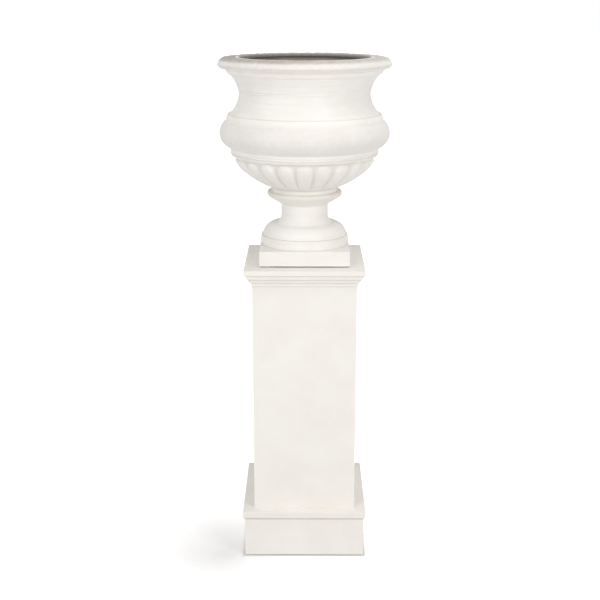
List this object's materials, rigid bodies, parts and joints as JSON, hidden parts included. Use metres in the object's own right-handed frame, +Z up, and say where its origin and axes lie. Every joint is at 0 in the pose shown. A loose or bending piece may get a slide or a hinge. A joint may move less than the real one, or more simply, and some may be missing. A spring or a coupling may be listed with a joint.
{
  "type": "urn planter",
  "caption": "Classical urn planter with a rolled rim, swelling gadrooned bowl, turned foot and removable liner, standing on a tall square moulded pedestal.",
  "frame": {"origin": "centre of the pedestal's footprint, on the floor", "axes": "+Z up along the urn's axis, -Y towards the pictured front, +X to the right seen from the front"},
  "size_m": [0.4299, 0.43, 1.2702],
  "materials": {
    "cast_stone": "smooth cream coat on cast stone, matt",
    "painted_wood": "cream paint, matt",
    "bare_wood": "bare softwood, out of sight",
    "liner_plastic": "matt brown plastic",
    "rubber": "matt black",
    "steel": "zinc plated",
    "glide_plastic": "dark plastic glides"
  },
  "bodies": {
    "pedestal": {"cap_board": "painted_wood", "base_slab": "painted_wood", "cap_moulding_front": "painted_wood", "cap_moulding_back": "painted_wood", "cap_moulding_left": "painted_wood", "cap_moulding_right": "painted_wood", "shaft_front": "painted_wood", "shaft_back": "painted_wood", "shaft_left": "painted_wood", "shaft_right": "painted_wood", "plinth_front": "painted_wood", "plinth_back": "painted_wood", "plinth_left": "painted_wood", "plinth_right": "painted_wood", "top_bulkhead": "bare_wood", "bottom_bulkhead": "bare_wood", "shaft_block_left_front": "bare_wood", "shaft_block_left_back": "bare_wood", "shaft_block_right_front": "bare_wood", "shaft_block_right_back": "bare_wood", "plinth_block_left_front": "bare_wood", "plinth_block_left_back": "bare_wood", "plinth_block_right_front": "bare_wood", "plinth_block_right_back": "bare_wood", "cap_screws": "steel", "slab_screws": "steel", "plinth_screws": "steel", "floor_glides": "glide_plastic"},
    "urn": {"urn_bowl": "cast_stone", "urn_foot": "cast_stone", "clamp_bolt": "steel", "sealing_washer": "rubber", "bolt_washer": "steel", "nut_washer": "steel", "clamp_nut": "steel", "urn_pads": "rubber"},
    "liner": {"planting_liner": "liner_plastic"}
  },
  "joints": [
    {"name": "urn_lift", "type": "slide", "parent": "pedestal", "child": "urn", "axis": [0, 0, 1], "range_m": [0, 0.15]},
    {"name": "liner_lift", "type": "slide", "parent": "urn", "child": "liner", "axis": [0, 0, 1], "range_m": [0, 0.25]}
  ]
}
